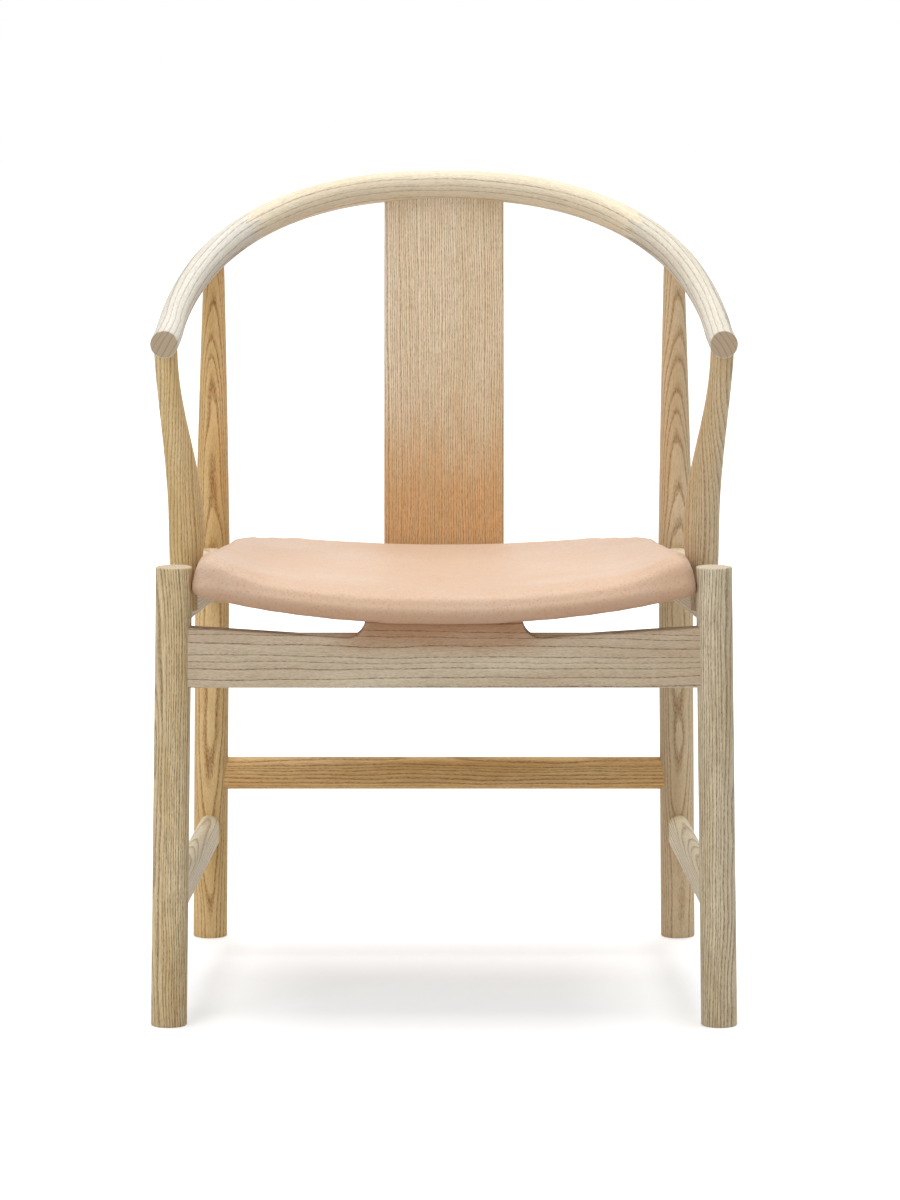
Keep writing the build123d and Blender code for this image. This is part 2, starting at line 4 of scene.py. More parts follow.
import bmesh
import bpy
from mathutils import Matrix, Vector
from mathutils.bvhtree import BVHTree


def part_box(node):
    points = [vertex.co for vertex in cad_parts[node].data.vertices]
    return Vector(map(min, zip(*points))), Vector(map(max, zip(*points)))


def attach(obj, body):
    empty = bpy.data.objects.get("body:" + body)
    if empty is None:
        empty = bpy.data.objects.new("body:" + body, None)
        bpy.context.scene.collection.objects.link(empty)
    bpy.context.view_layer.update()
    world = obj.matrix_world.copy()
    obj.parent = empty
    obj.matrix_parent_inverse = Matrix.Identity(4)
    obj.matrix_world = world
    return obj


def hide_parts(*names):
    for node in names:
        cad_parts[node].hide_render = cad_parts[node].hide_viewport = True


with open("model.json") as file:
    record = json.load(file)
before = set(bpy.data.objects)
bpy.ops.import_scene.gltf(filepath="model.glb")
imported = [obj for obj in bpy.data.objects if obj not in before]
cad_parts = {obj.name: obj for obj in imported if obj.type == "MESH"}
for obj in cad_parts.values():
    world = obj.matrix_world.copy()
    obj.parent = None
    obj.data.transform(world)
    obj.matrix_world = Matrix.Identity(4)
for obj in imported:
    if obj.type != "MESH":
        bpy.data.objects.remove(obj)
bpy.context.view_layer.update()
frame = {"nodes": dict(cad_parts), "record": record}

bl_info = {
    "name": "Horseshoe Back Armchair",
    "version": (1, 0, 0),
    "blender": (4, 5, 0),
    "location": "3D View > Sidebar > Armchair",
    "description": "Finishes the ash frame, upholsters the leather seat and lights the armchair",
    "category": "Object",
}

MM = 0.001


# ------------------------------------------------------------------ colours and nodes
def linear(hex_colour):
    """An sRGB hex colour as linear RGBA."""
    channels = [int(hex_colour[i:i + 2], 16) / 255 for i in (1, 3, 5)]
    return [c / 12.92 if c <= 0.04045 else ((c + 0.055) / 1.055) ** 2.4 for c in channels] + [1.0]


def add_node(tree, kind, inputs=None, **settings):
    """Add a node, set its properties, and fill its inputs or link them.

    An input may be a value, another node's output, or a node, for its first output in use.
    """
    node = tree.nodes.new(kind)
    for name, value in settings.items():
        setattr(node, name, value)
    for socket, value in (inputs or {}).items():
        if isinstance(value, bpy.types.Node):
            value = next(output for output in value.outputs if output.enabled)
        if isinstance(value, bpy.types.NodeSocket):
            tree.links.new(value, node.inputs[socket])
        else:
            node.inputs[socket].default_value = value
    return node


def start_material(name):
    """A new material, and its node tree with nothing in it."""
    material = bpy.data.materials.new(name)
    material.use_nodes = True
    material.node_tree.nodes.clear()
    return material, material.node_tree


def end_material(tree, surface):
    """Give a material its shader, with the inputs that aren't at their defaults."""
    shader = add_node(tree, "ShaderNodeBsdfPrincipled", surface)
    add_node(tree, "ShaderNodeOutputMaterial", {"Surface": shader})


def cover_with(piece, material):
    """Give a piece one material."""
    piece.data.materials.clear()
    piece.data.materials.append(material)


def nodes_of(slot):
    """The CAD nodes that take their finish from a material slot."""
    parts = frame["record"]["subparts"]
    return [frame["nodes"][part["node"]] for part in parts if part["material_slot"] == slot]


# ------------------------------------------------------------------ settings
class ArmchairWoodSettings(bpy.types.PropertyGroup):
    """Soaped ash."""

    waviness: bpy.props.FloatProperty(
        name="Waviness", description="How far the rings wander from straight",
        default=5.0 * MM, min=0.0, unit="LENGTH", precision=4)
    pore_depth: bpy.props.FloatProperty(
        name="Pore depth", description="Depth of the open pores",
        default=0.12 * MM, min=0.0, unit="LENGTH", precision=5)
    roughness: bpy.props.FloatProperty(
        name="Roughness", description="Mean roughness of the soaped surface",
        default=0.58, min=0.0, max=1.0, subtype="FACTOR")


class ArmchairSeatSettings(bpy.types.PropertyGroup):
    """The padded leather seat."""

    softness: bpy.props.IntProperty(
        name="Softness", description="How often the foam's edges are smoothed",
        default=60, min=0, max=90)
    lift: bpy.props.FloatProperty(
        name="Lift", description="How far the foam stands up along the sides, at the front",
        default=15.0 * MM, min=0.0, unit="LENGTH", precision=4)
    lip: bpy.props.FloatProperty(
        name="Lip", description="How far the foam leans out over the front edge and corners",
        default=5.0 * MM, min=0.0, unit="LENGTH", precision=4)
    crown: bpy.props.FloatProperty(
        name="Crown", description="Most that the foam swells past its plain shape",
        default=2.0 * MM, min=0.0, unit="LENGTH", precision=4)
    pebble: bpy.props.FloatProperty(
        name="Pebble", description="Size of the leather's pebble grain",
        default=1.3 * MM, min=0.2 * MM, unit="LENGTH", precision=5)
    leather: bpy.props.FloatVectorProperty(
        name="Leather", description="Colour of the undyed leather",
        default=linear("#D4B9A2")[:3], size=3, min=0.0, max=1.0, subtype="COLOR")


class ArmchairStageSettings(bpy.types.PropertyGroup):
    """Camera, lamps and floor."""

    camera_distance: bpy.props.FloatProperty(
        name="Camera distance", description="From the origin to the camera along the floor",
        default=5.910, min=1.0, unit="LENGTH")
    camera_height: bpy.props.FloatProperty(
        name="Camera height", description="Height of the camera over the floor",
        default=1.179, min=0.0, unit="LENGTH")
    camera_tilt: bpy.props.FloatProperty(
        name="Camera tilt", description="How far the camera looks down",
        default=math.radians(7.55), unit="ROTATION")
    overhead_power: bpy.props.FloatProperty(
        name="Overhead lamp", description="Power of the soft lamp overhead",
        default=72.0, min=0.0, unit="POWER")
    front_power: bpy.props.FloatProperty(
        name="Front lamp", description="Power of the soft lamp at the front",
        default=38.0, min=0.0, unit="POWER")
    ambient: bpy.props.FloatProperty(
        name="Ambient", description="Strength of the light from all round",
        default=0.42, min=0.0)


# ------------------------------------------------------------------ soaped ash
# Each kind of piece is cut from its own board:
#   grain    the way its grain runs
#   heart    where the tree's heart lay from the middle of the left or only piece, in mm
#   ring     the mean width of a year's ring, in mm
#   tones    its pale, mean, dark and end-grain colours
#   line     the width of the early wood, in mm
#   fibre    the strength of the fine streaks
#   wander   how far its rings wander, as a share of the usual
#   bend     how far the grain bows sideways at 100 mm from the middle, in mm
#   follows  "bow" where the piece was bent, so that its grain follows the bow's line
#    tint_and_painted_shade  a warmer tint that fades between two heights in metres, and may
#             fade to a third past a half width; on the splat a warmer tone lower down, and on
#             the front rail painted shade and a painted warm reflection under the seat's lip
# Of a pair, the piece at +X may come from another place in another board.
ASH_PIECES = {
    "ash_front_legs": {
        "grain": (0, 0.004, 1), "heart": (-270, 55, 0), "ring": 2.6, "fibre": 0.65,
        "tones": ("#EBD7AF", "#D5BB8C", "#70552F", "#CDBBA2"),
        "at_plus_x": {
            "heart": (-240, 90, 0), "tones": ("#EADCC0", "#D6C39F", "#715C40", "#D3C3AE")}},
    "ash_rear_legs": {
        "grain": (0, -0.162, 1), "heart": (4, -190, 0), "ring": 3.1, "bend": (0, -0.85, 0),
        "line": 0.7, "fibre": 0.28, "tones": ("#F1D39C", "#DFBC80", "#8E5A20", "#B89A6E"),
        "at_plus_x": {
            "heart": (30, -230, 0), "tones": ("#E8D3B0", "#D4BA92", "#977248", "#B89A6E")}},
    "ash_arm_posts": {
        "grain": (0, -0.12, 1), "heart": (-255, 60, 0), "ring": 2.7, "line": 0.7,
        "fibre": 0.4, "tones": ("#E6D0A2", "#D6B77E", "#94703E", "#BDA680"),
        "at_plus_x": {
            "heart": (-230, 95, 0), "tones": ("#E2CFAD", "#D2B990", "#8E6F48", "#BDA680")}},
    "ash_bow_back": {
        "grain": (1, 0, 0), "heart": (-30, -75, 0), "ring": 7.0, "follows": "bow", "line": 0.5,
        "fibre": 0.25, "wander": 0.6, "tones": ("#E6DBC4", "#DCCDB1", "#84704F", "#BCA789")},
    "ash_bow_arms": {
        "grain": (0, 1, 0), "heart": (-150, -90, 0), "ring": 5.2, "follows": "bow", "line": 0.6,
        "fibre": 0.3, "wander": 0.45, "tones": ("#DEDACF", "#D4CEC1", "#857A68", "#B39D80"),
        "at_plus_x": {"tones": ("#DDD6C9", "#D3CAB9", "#83775F", "#B69D80")}},
    "ash_splat": {
        "grain": (0, 0.19, 1), "heart": (520, 60, 0), "ring": 2.5, "wander": 0.6,
        "tones": ("#F0E0C6", "#E6D1AF", "#94734F", "#BCA789"),
        "tint_and_painted_shade": {"full_at": 0.47, "gone_at": 0.61, "tint": "#E2AC6A"}},
    "ash_front_rail": {
        "grain": (1, 0, -0.006), "heart": (0, 110, -420), "ring": 7.6, "wander": 0.9,
        "line": 0.6, "fibre": 0.22, "tones": ("#DACAB0", "#C8B396", "#4E3A26", "#BCA789"),
        # Its warm dark tint near the top is painted shade and a painted warm reflection: the
        # seat's lip shades the rail there, and the leather throws warm light on it.
        "tint_and_painted_shade": {"full_at": 0.402, "gone_at": 0.364, "half_width": 0.095, "tint": "#9C6130"}},
    "ash_side_rails": {
        "grain": (0, 1, -0.06), "heart": (0, 0, -250), "ring": 3.4,
        "tones": ("#EADCC2", "#E0CDAA", "#A68A62", "#BCA789")},
    "ash_rear_rail": {
        "grain": (1, 0, 0.01), "heart": (0, 170, -90), "ring": 3.4,
        "tones": ("#DECAA2", "#CDB388", "#9C7F54", "#BCA789")},
    "ash_rear_stretcher": {
        "grain": (1, 0, 0.004), "heart": (0, 60, -160), "ring": 3.2,
        "tones": ("#F6D096", "#E9BA78", "#94642C", "#A88A60")},
    "ash_side_stretchers": {
        "grain": (0, 1, 0.05), "heart": (0, 0, -200), "ring": 3.6, "fibre": 0.3,
        "tones": ("#F7ECD2", "#F0DFBC", "#A3875E", "#BCA789")},
}

# What is uneven in the wood: the features' width across the grain and length along it, in
# millimetres, how many times they are broken up finer, and how strong the finer ones are.
WOOD_NOISES = {
    "wander": (60, 260, 2.0, 0.5),
    "ripple": (14, 45, 1.0, 0.5),
    "fibres": (0.8, 22, 3.0, 0.6),
    "pores": (0.9, 4, 1.0, 0.5),
    "tone": (28, 190, 2.0, 0.5),
}

RIPPLE = 1.6            # strength of the rings' small waves, in mm
LEAN_YEARS = 0.3        # how often good and lean years take turns, for each year
UNEVEN_YEARS = 1.6      # how many rings a run of good or lean years shifts the others by
END_GRAIN = (0.9, 0.98)     # how squarely a face cuts the grain where it starts to look cut

# The bow's line, in metres: a flattened circle in plan, raised in a soft ramp to its back.
BOW = {
    "half_width": 0.277, "shoulder": -0.057, "reach": 0.305, "squareness": 2.27,
    "ramp_start": -0.0035, "ramp_length": 0.070, "ramp_slope": 0.5187, "arm_height": 0.6761,
    "turn_centre": -0.2, "turn_radius": 0.36,
}


def along_the_bow(tree, place):
    """Millimetres outward from the bow's line, upward from it, and along it."""
    axes = add_node(tree, "ShaderNodeSeparateXYZ", {"Vector": place})
    x, y, z = (axes.outputs[name] for name in "XYZ")
    # In plan, the line is where wide and deep, each to the power of squareness, add up to 1.
    aside = add_node(tree, "ShaderNodeMath", {0: x}, operation="ABSOLUTE")
    wide = add_node(tree, "ShaderNodeMath", {
        0: aside, 1: BOW["half_width"]}, operation="DIVIDE")
    past = add_node(tree, "ShaderNodeMath", {0: y, 1: BOW["shoulder"]}, operation="SUBTRACT")
    behind = add_node(tree, "ShaderNodeMath", {0: past, 1: 0.0}, operation="MAXIMUM")
    deep = add_node(tree, "ShaderNodeMath", {0: behind, 1: BOW["reach"]}, operation="DIVIDE")
    wide_part, deep_part = (add_node(tree, "ShaderNodeMath", {
        0: share, 1: BOW["squareness"]}, operation="POWER") for share in (wide, deep))
    total = add_node(tree, "ShaderNodeMath", {0: wide_part, 1: deep_part}, operation="ADD")
    size = add_node(tree, "ShaderNodeMath", {
        0: total, 1: 1 / BOW["squareness"]}, operation="POWER")
    over = add_node(tree, "ShaderNodeMath", {0: size, 1: 1.0}, operation="SUBTRACT")
    outward = add_node(tree, "ShaderNodeMath", {
        0: over, 1: BOW["half_width"] / MM}, operation="MULTIPLY")
    # Its height is level along the arms, and then climbs a hyperbola's soft ramp.
    run = add_node(tree, "ShaderNodeMath", {0: y, 1: BOW["ramp_start"]}, operation="SUBTRACT")
    squared = add_node(tree, "ShaderNodeMath", {
        0: run, 1: run, 2: BOW["ramp_length"] ** 2}, operation="MULTIPLY_ADD")
    ramp = add_node(tree, "ShaderNodeMath", {0: squared}, operation="SQRT")
    climb = add_node(tree, "ShaderNodeMath", {0: run, 1: ramp}, operation="ADD")
    line = add_node(tree, "ShaderNodeMath", {
        0: climb, 1: BOW["ramp_slope"] / 2, 2: BOW["arm_height"]}, operation="MULTIPLY_ADD")
    above = add_node(tree, "ShaderNodeMath", {0: z, 1: line}, operation="SUBTRACT")
    upward = add_node(tree, "ShaderNodeMath", {0: above, 1: MM}, operation="DIVIDE")
    # The way along it is an angle round a point between the arms, at a mean radius.
    back = add_node(tree, "ShaderNodeMath", {0: y, 1: BOW["turn_centre"]}, operation="SUBTRACT")
    turn = add_node(tree, "ShaderNodeMath", {0: x, 1: back}, operation="ARCTAN2")
    along = add_node(tree, "ShaderNodeMath", {
        0: turn, 1: BOW["turn_radius"] / MM}, operation="MULTIPLY")
    return add_node(tree, "ShaderNodeCombineXYZ", {"X": outward, "Y": upward, "Z": along})


def trunk_place(tree, piece, ash):
    """A piece's place in its tree, in millimetres: the heart at the origin, the grain on Z."""
    place = add_node(tree, "ShaderNodeTexCoord").outputs["Object"]
    if ash.get("follows") == "bow":
        return add_node(tree, "ShaderNodeVectorMath", {
            0: along_the_bow(tree, place), 1: ash["heart"]}, operation="SUBTRACT")
    grain = Vector(ash["grain"]).normalized()
    low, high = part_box(piece.name)
    middle = (low + high) / 2
    if "bend" in ash:
        # The trunk was crooked, so the grain bows away from the middle of the piece.
        from_middle = add_node(tree, "ShaderNodeVectorMath", {
            0: place, 1: middle}, operation="SUBTRACT")
        along = add_node(tree, "ShaderNodeVectorMath", {
            0: from_middle, 1: grain}, operation="DOT_PRODUCT")
        squared = add_node(tree, "ShaderNodeMath", {0: along, 1: along}, operation="MULTIPLY")
        bow = Vector(ash["bend"]) * -MM / (100 * MM) ** 2
        place = add_node(tree, "ShaderNodeVectorMath", {
            0: squared, 1: bow, 2: place}, operation="MULTIPLY_ADD")
    turn = grain.rotation_difference(Vector((0, 0, 1))).to_euler()
    side = math.copysign(1, middle.x)
    heart = middle / MM + Vector(ash["heart"]) * Vector((side, 1, 1))
    heart.rotate(turn)
    return add_node(tree, "ShaderNodeMapping", {
        "Vector": place, "Rotation": turn, "Scale": (1 / MM, 1 / MM, 1 / MM),
        "Location": (-heart.x, -heart.y, 0)})


def early_wood(tree, trunk, noises, ash, waviness):
    """How much of a place is early wood: the band of open pores that starts a year's ring."""
    # Rings wander by a few millimetres over a hand's breadth, and slower along the grain.
    wander = add_node(tree, "ShaderNodeVectorMath", {
        0: noises["wander"].outputs["Color"], 1: (0.5, 0.5, 0.5)}, operation="SUBTRACT")
    reach = 4 * waviness * ash.get("wander", 1.0) / MM
    shifted = add_node(tree, "ShaderNodeVectorMath", {
        0: wander, 1: (reach, reach, reach), 2: trunk}, operation="MULTIPLY_ADD")
    rippled = add_node(tree, "ShaderNodeVectorMath", {
        0: noises["ripple"].outputs["Color"], 1: (RIPPLE, RIPPLE, RIPPLE), 2: shifted},
        operation="MULTIPLY_ADD")
    across = add_node(tree, "ShaderNodeVectorMath", {
        0: rippled, 1: (1, 1, 0)}, operation="MULTIPLY")
    radius = add_node(tree, "ShaderNodeVectorMath", {0: across}, operation="LENGTH")

    # Good years and lean years: ring widths vary with the radius.
    slow = add_node(tree, "ShaderNodeMath", {
        0: radius, 1: LEAN_YEARS / ash["ring"]}, operation="MULTIPLY")
    years = add_node(tree, "ShaderNodeTexNoise", {
        "W": slow, "Scale": 1.0, "Detail": 1.0}, noise_dimensions="1D")
    gained = add_node(tree, "ShaderNodeMath", {0: years, 1: UNEVEN_YEARS}, operation="MULTIPLY")
    age = add_node(tree, "ShaderNodeMath", {
        0: radius, 1: 1 / ash["ring"], 2: gained}, operation="MULTIPLY_ADD")
    season = add_node(tree, "ShaderNodeMath", {0: age}, operation="FRACT")

    # Through a year, the pores open at once and close slowly, until the next year's open.
    early = add_node(tree, "ShaderNodeValToRGB", {"Fac": season})
    band = min(ash.get("line", 0.9) / ash["ring"], 0.25)
    seasons = ((0.0, 0.5), (band / 2, 1.0), (band, 0.6), (1.8 * band, 0.12),
               (0.94, 0.0), (1.0, 0.5))
    stops = early.color_ramp.elements
    while len(stops) < len(seasons):
        stops.new(0.5)
    for stop, (position, share) in zip(stops, seasons):
        stop.position = position
        stop.color = (share, share, share, 1.0)
    return early


def tint_and_painted_shade_share(tree, trunk, tint_and_painted_shade):
    """How much a warmer tint covers a place by height, with a ragged edge; on the front rail it
    is painted shade.
    """
    full_at, gone_at = tint_and_painted_shade["full_at"], tint_and_painted_shade["gone_at"]
    axes = add_node(tree, "ShaderNodeSeparateXYZ", {
        "Vector": add_node(tree, "ShaderNodeTexCoord").outputs["Object"]})
    # Its edge is ragged in patches 30 mm across the grain and 90 mm along it.
    patches = add_node(tree, "ShaderNodeTexNoise", {
        "Vector": add_node(tree, "ShaderNodeMapping", {
            "Vector": trunk, "Scale": (1 / 30, 1 / 30, 1 / 90)}),
        "Scale": 1.0, "Detail": 2.0, "Roughness": 0.5})
    ragged = 0.7 * abs(gone_at - full_at)
    height = add_node(tree, "ShaderNodeMath", {
        0: patches, 1: ragged, 2: axes.outputs["Z"]}, operation="MULTIPLY_ADD")
    share = add_node(tree, "ShaderNodeMapRange", {
        "Value": height, "From Min": full_at + ragged / 2, "From Max": gone_at + ragged / 2,
        "To Min": 0.75, "To Max": 0.0}, interpolation_type="SMOOTHSTEP")
    if "half_width" not in tint_and_painted_shade:
        return share
    aside = add_node(tree, "ShaderNodeMath", {0: axes.outputs["X"]}, operation="ABSOLUTE")
    fade = 30 * MM
    near = add_node(tree, "ShaderNodeMapRange", {
        "Value": aside, "From Min": tint_and_painted_shade["half_width"] + fade,
        "From Max": tint_and_painted_shade["half_width"] - fade, "To Min": 0.3, "To Max": 1.0},
        interpolation_type="SMOOTHSTEP")
    return add_node(tree, "ShaderNodeMath", {0: near, 1: share}, operation="MULTIPLY")


def soaped_ash(piece, ash, wood):
    """Soaped ash, sanded and matt: a pale ring-porous wood.

    Each year's ring starts with a band of wide open pores, which show as fine dark dashes
    along the grain, and ends in smooth pale late wood. The rings are round a heart beside
    the piece, so a face cut along them shows flames and an end shows arcs. Cut ends drink
    more soap and are darker.
    """
    material, tree = start_material("soaped_ash_" + piece.name)
    pale, mean, dark, cut = (linear(tone) for tone in ash["tones"])
    cut_line = [channel * 0.55 for channel in cut[:3]] + [1.0]
    trunk = trunk_place(tree, piece, ash)
    noises = {}
    for name, (width, length, detail, roughness) in WOOD_NOISES.items():
        grained = add_node(tree, "ShaderNodeMapping", {
            "Vector": trunk, "Scale": (1 / width, 1 / width, 1 / length)})
        noises[name] = add_node(tree, "ShaderNodeTexNoise", {
            "Vector": grained, "Scale": 1.0, "Detail": detail, "Roughness": roughness})
    early = early_wood(tree, trunk, noises, ash, wood.waviness)

    # Fibres are streaks under a millimetre wide; pores are short dashes in the early wood.
    streaks = add_node(tree, "ShaderNodeMapRange", {
        "Value": noises["fibres"], "From Min": 0.42, "From Max": 0.75,
        "To Max": ash.get("fibre", 0.5)})
    pores = add_node(tree, "ShaderNodeMapRange", {
        "Value": noises["pores"], "From Min": 0.46, "From Max": 0.6})
    open_pores = add_node(tree, "ShaderNodeMath", {0: pores, 1: early}, operation="MULTIPLY")

    # Boards are never one colour: the tone drifts across and along the piece.
    drift = add_node(tree, "ShaderNodeMapRange", {
        "Value": noises["tone"], "From Min": 0.3, "From Max": 0.7})
    colour = add_node(tree, "ShaderNodeMix", {
        "Factor": drift, "A": pale, "B": mean}, data_type="RGBA")
    # A warmer tint by height: on the splat a warmer tone lower down, on the front rail painted
    # shade and a painted warm reflection below the seat's lip.
    if "tint_and_painted_shade" in ash:
        colour = add_node(tree, "ShaderNodeMix", {
            "Factor": tint_and_painted_shade_share(tree, trunk, ash["tint_and_painted_shade"]),
            "A": colour, "B": linear(ash["tint_and_painted_shade"]["tint"])}, data_type="RGBA")
    # The fibres darken it, and so do the early wood, the pores there and the pores between.
    darker = [streaks] + [
        add_node(tree, "ShaderNodeMath", {0: pattern, 1: strength}, operation="MULTIPLY")
        for pattern, strength in ((early, 0.55), (open_pores, 0.7), (pores, 0.12))]
    for share in darker:
        colour = add_node(tree, "ShaderNodeMix", {
            "Factor": share, "A": colour, "B": dark}, data_type="RGBA")

    # A face square to the grain is cut end: darker, with the rings as fine lines.
    lined = add_node(tree, "ShaderNodeMath", {0: early, 1: 0.8}, operation="MULTIPLY")
    end_grain = add_node(tree, "ShaderNodeMix", {
        "Factor": lined, "A": cut, "B": cut_line}, data_type="RGBA")
    facing = add_node(tree, "ShaderNodeVectorMath", {
        0: add_node(tree, "ShaderNodeNewGeometry").outputs["True Normal"],
        1: Vector(ash["grain"]).normalized()}, operation="DOT_PRODUCT")
    turned = add_node(tree, "ShaderNodeMath", {0: facing}, operation="ABSOLUTE")
    is_end = add_node(tree, "ShaderNodeMapRange", {
        "Value": turned, "From Min": END_GRAIN[0], "From Max": END_GRAIN[1], "To Max": 0.9})
    colour = add_node(tree, "ShaderNodeMix", {
        "Factor": is_end, "A": colour, "B": end_grain}, data_type="RGBA")

    # Open pores lie lower than the fibres, which are rougher where they stand up.
    rough = add_node(tree, "ShaderNodeMapRange", {
        "Value": noises["fibres"], "From Min": 0.3, "From Max": 0.7,
        "To Min": wood.roughness - 0.06, "To Max": wood.roughness + 0.08})
    sunk = add_node(tree, "ShaderNodeMath", {0: open_pores, 1: -1.0}, operation="MULTIPLY")
    relief = add_node(tree, "ShaderNodeMath", {
        0: noises["fibres"], 1: 0.35, 2: sunk}, operation="MULTIPLY_ADD")
    bump = add_node(tree, "ShaderNodeBump", {
        "Height": relief, "Distance": wood.pore_depth, "Strength": 0.6})
    end_material(tree, {
        "Base Color": colour, "Roughness": rough, "Normal": bump,
        "IOR": 1.45, "Specular IOR Level": 0.35})
    return material


class ARMCHAIR_OT_finish_frame(bpy.types.Operator):
    """Finish every piece of the frame in soaped ash, with its grain along the piece"""

    bl_idname = "armchair.finish_frame"
    bl_label = "Finish Frame"

    def execute(self, context):
        wood = context.scene.armchair_wood
        for slot, ash in ASH_PIECES.items():
            for piece in nodes_of(slot):
                other = ash.get("at_plus_x", {}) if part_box(piece.name)[0].x > 0 else {}
                cover_with(piece, soaped_ash(piece, {**ash, **other}, wood))
        return {"FINISHED"}


# ------------------------------------------------------------------ seat
def natural_leather(seat):
    """Undyed vegetable-tanned hide: a warm pale skin with a fine pebble, pores and faint clouds.

    It's matt with a soft sheen at a low angle, and painted shade darkens it where it turns under
    at its hem and faces down.
    """
    material, tree = start_material("natural_leather")
    place = add_node(tree, "ShaderNodeTexCoord").outputs["Object"]
    skin = list(seat.leather) + [1.0]
    warm = [channel * tint for channel, tint in zip(skin, (0.96, 0.88, 0.80, 1.0))]

    # Clouds are a hand's breadth wide, and the skin's mottle 5 mm.
    clouds = add_node(tree, "ShaderNodeTexNoise", {
        "Vector": place, "Scale": 1 / (111 * MM), "Detail": 4.0, "Roughness": 0.55})
    clouded = add_node(tree, "ShaderNodeMapRange", {
        "Value": clouds, "From Min": 0.35, "From Max": 0.68})
    mottle = add_node(tree, "ShaderNodeTexNoise", {
        "Vector": place, "Scale": 1 / (4.76 * MM), "Detail": 3.0, "Roughness": 0.7})
    mottled = add_node(tree, "ShaderNodeMapRange", {
        "Value": mottle, "From Min": 0.42, "From Max": 0.7, "To Max": 0.45})
    # Painted shade: the hide is darkened where it faces down, at its lip and hem, for the shade
    # that falls there.
    hem = add_node(tree, "ShaderNodeAttribute", attribute_name="hem").outputs["Fac"]
    painted_lip_shade = add_node(tree, "ShaderNodeMath", {0: hem, 1: 0.6}, operation="MULTIPLY")
    # Hair pores, about 3 mm apart, are tiny brown specks, and lie in patches.
    specks = add_node(tree, "ShaderNodeTexVoronoi", {"Vector": place, "Scale": 1 / (3.03 * MM)})
    speck = add_node(tree, "ShaderNodeMapRange", {
        "Value": specks, "From Min": 0.4, "From Max": 0.15, "To Max": 0.6})
    patch = add_node(tree, "ShaderNodeTexNoise", {
        "Vector": place, "Scale": 1 / (16.7 * MM), "Detail": 2.0})
    shown = add_node(tree, "ShaderNodeMath", {0: speck, 1: patch}, operation="MULTIPLY")

    colour = skin
    for share, tint in ((clouded, warm), (mottled, linear("#C99F7E")),
                        (painted_lip_shade, linear("#A57C5C")), (shown, linear("#A9764E"))):
        colour = add_node(tree, "ShaderNodeMix", {
            "Factor": share, "A": colour, "B": tint}, data_type="RGBA")

    pebble = add_node(tree, "ShaderNodeTexVoronoi", {
        "Vector": place, "Scale": 1 / seat.pebble}, feature="SMOOTH_F1")
    bump = add_node(tree, "ShaderNodeBump", {
        "Height": pebble, "Distance": 0.12 * MM, "Strength": 0.5})
    rough = add_node(tree, "ShaderNodeMapRange", {"Value": clouds, "To Min": 0.44, "To Max": 0.6})
    end_material(tree, {
        "Base Color": colour, "Roughness": rough, "Normal": bump, "IOR": 1.5,
        "Specular IOR Level": 0.3, "Sheen Weight": 0.12, "Sheen Roughness": 0.5})
    return material


# The pad encloses these, and keeps clear of the pieces round it.
SEAT_PIECES = ("seat_leather", "seat_foam", "seat_shell")
SEAT_NEIGHBOURS = (
    "front_leg_left", "front_leg_right", "rear_leg_left", "rear_leg_right", "arm_post_left",
    "arm_post_right", "side_seat_rail_left", "side_seat_rail_right", "front_seat_rail",
    "rear_seat_rail", "back_splat")

QUAD = 4.0 * MM             # the side of the pad's quads, before they are divided
SLICE = 6.0 * MM            # the depth of the slices whose widths are measured
FREE_FOAM = 18.0 * MM       # foam this far off the shell moves most
LEAN_TOP = 0.85             # the share of that depth past which the lean stays the same
HARDER_BY = 0.7             # how much less the foam is smoothed behind
NEARBY = 20.0 * MM          # a neighbour further off than this can't be touched
CLEARANCE = 0.4 * MM        # the gap that is kept to a neighbour
HEM_THICKNESS = 1.1 * MM    # how much the hide thickens where it is turned round the shell
PRESSURE = 4.0              # of the foam on the leather
STEPS = 20                  # of the cloth simulation
SETTLING = 6                # rounds of smoothing after it

# Where the pad's shape changes: each pair is where a share is 0 and where it is 1.
LEANS_AT = (30.0 * MM, 0.0)             # inward from the sides or back from the front
LIFTS_AT = (75.0 * MM, 0.0)             # inward from the sides
SOFTENS_OFF_SHELL = (1.8 * MM, 7.8 * MM)
HARDER_BEHIND = (30.0 * MM, 80.0 * MM)  # back from the front
LETS_GO_OFF_SHELL = (2.5 * MM, 7.5 * MM)
WRAPS_NEAR_SHELL = (8.0 * MM, 2.0 * MM)
WRAPS_OFF_CLOTH = (2.0 * MM, 7.0 * MM)
# The painted shade on the leather is none where the hide faces nearly up and full where it faces
# nearly down.
HEM_FACES = (5 / 9, -5 / 9)             # from nearly up to nearly down


def ease(value, none_at, all_at):
    """A share from 0 to 1 as a value goes from one place to another, with soft ends."""
    share = min(max((value - none_at) / (all_at - none_at), 0.0), 1.0)
    return share * share * (3.0 - 2.0 * share)


def apply_modifier(piece, modifier):
    """Apply one of a piece's modifiers."""
    with bpy.context.temp_override(object=piece, active_object=piece, selected_objects=[piece]):
        bpy.ops.object.modifier_apply(modifier=modifier.name)


def joined(name, nodes):
    """A new piece: one mesh of several touching CAD nodes."""
    skin = bmesh.new()
    for node in nodes:
        skin.from_mesh(frame["nodes"][node].data)
    bmesh.ops.remove_doubles(skin, verts=skin.verts, dist=0.01 * MM)
    mesh = bpy.data.meshes.new(name)
    skin.to_mesh(mesh)
    skin.free()
    piece = bpy.data.objects.new(name, mesh)
    bpy.context.scene.collection.objects.link(piece)
    return piece


def surface_of(name):
    """A CAD node's surface, to measure distances to."""
    return BVHTree.FromObject(frame["nodes"][name], bpy.context.evaluated_depsgraph_get())


